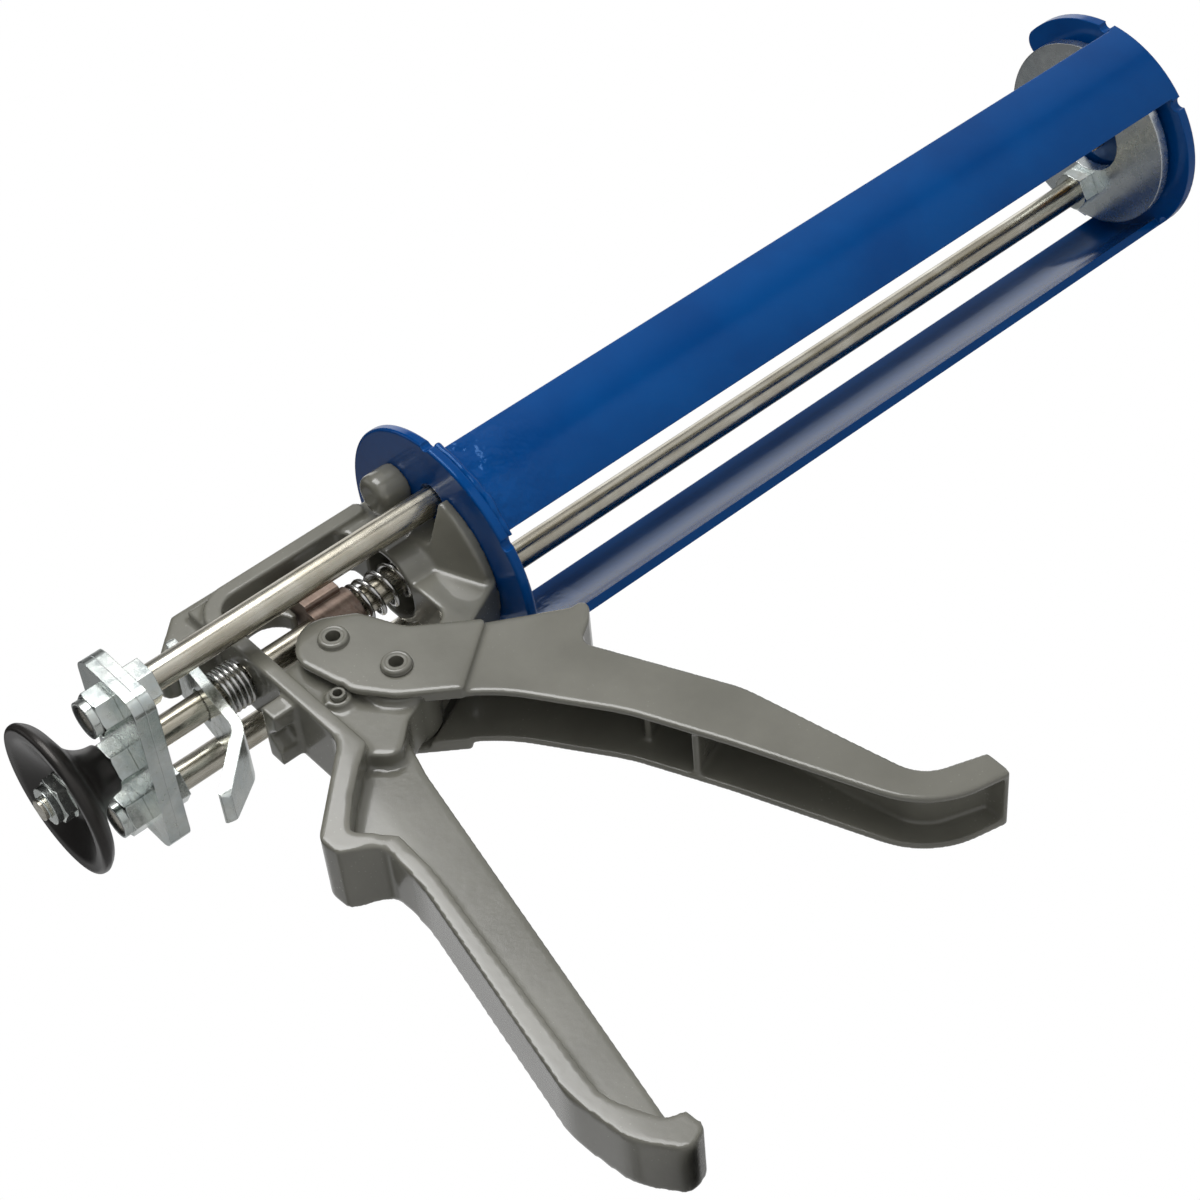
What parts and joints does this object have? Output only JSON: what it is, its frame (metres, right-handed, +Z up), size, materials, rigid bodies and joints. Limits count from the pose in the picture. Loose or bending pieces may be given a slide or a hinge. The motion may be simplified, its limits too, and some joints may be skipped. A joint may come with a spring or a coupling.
{
  "type": "caulking gun",
  "caption": "Squeeze gun for twin coaxial cartridges: open cradle, push rods with a ring and centre tip, cast grip, lever trigger, release catch and pull knob.",
  "frame": {"origin": "on the barrel axis at the front face of the rear plate, where the cartridge's back end seats", "axes": "+X along the barrel towards the nozzle, +Y to the left side, +Z up, away from the grip"},
  "size_m": [0.3995, 0.076, 0.2292],
  "materials": {
    "blue_coat": "gloss powder coat",
    "grey_coat": "gloss hammered grey paint",
    "zinc_plate": "bright zinc plate",
    "rod_steel": "bright drawn rod",
    "ring_steel": "zinc plated ring",
    "spring_steel": "bright spring wire",
    "bronze_block": "browned sintered steel",
    "brass_tip": "turned brass",
    "copper_band": "copper",
    "black_knob": "satin moulded",
    "nylon_insert": "nylon"
  },
  "bodies": {
    "frame": {"cradle_frame": "blue_coat", "rear_plate": "blue_coat", "handle_casting": "grey_coat", "frame_bolts": "zinc_plate", "pivot_rivet": "grey_coat", "stop_pin": "grey_coat", "drive_spring": "spring_steel", "release_spring": "spring_steel"},
    "lever": {"trigger": "grey_coat", "drive_rivet": "grey_coat"},
    "drive": {"drive_block": "bronze_block"},
    "catch": {"release_plate": "zinc_plate"},
    "pusher": {"centre_rod": "rod_steel", "outer_rod_left": "rod_steel", "outer_rod_right": "rod_steel", "yoke_front_plate": "zinc_plate", "yoke_rear_plate": "zinc_plate", "spacer_nuts": "zinc_plate", "yoke_lock_nuts": "zinc_plate", "lock_inserts": "nylon_insert", "jam_nut": "zinc_plate", "pull_knob": "black_knob", "knob_washer": "zinc_plate", "knob_lock_nut": "zinc_plate", "pusher_ring": "ring_steel", "ring_nuts": "zinc_plate", "tip_band": "copper_band", "centre_tip": "brass_tip"}
  },
  "joints": [
    {"name": "trigger_squeeze", "type": "hinge", "parent": "frame", "child": "lever", "pos_m": [-0.0436, 0, -0.0346], "axis": [0, 1, 0], "range_deg": [0, 30], "stiffness_Nm_per_rad": 0.6, "springref_deg": -20.05},
    {"name": "drive_stroke", "type": "slide", "parent": "frame", "child": "drive", "axis": [1, 0, 0], "range_m": [0, 0.0101], "deforming": ["drive_spring"]},
    {"name": "rod_slide", "type": "slide", "parent": "frame", "child": "pusher", "axis": [1, 0, 0], "range_m": [-0.245, 0]},
    {"name": "catch_release", "type": "hinge", "parent": "frame", "child": "catch", "pos_m": [-0.0792, 0, 0.0176], "axis": [0, -1, 0], "range_deg": [0, 6], "stiffness_Nm_per_rad": 0.3, "springref_deg": -20.05, "deforming": ["release_spring"]}
  ],
  "couplings": [
    {"joint": "drive_stroke", "follows": "trigger_squeeze", "m_per_rad": 0.01923}
  ]
}
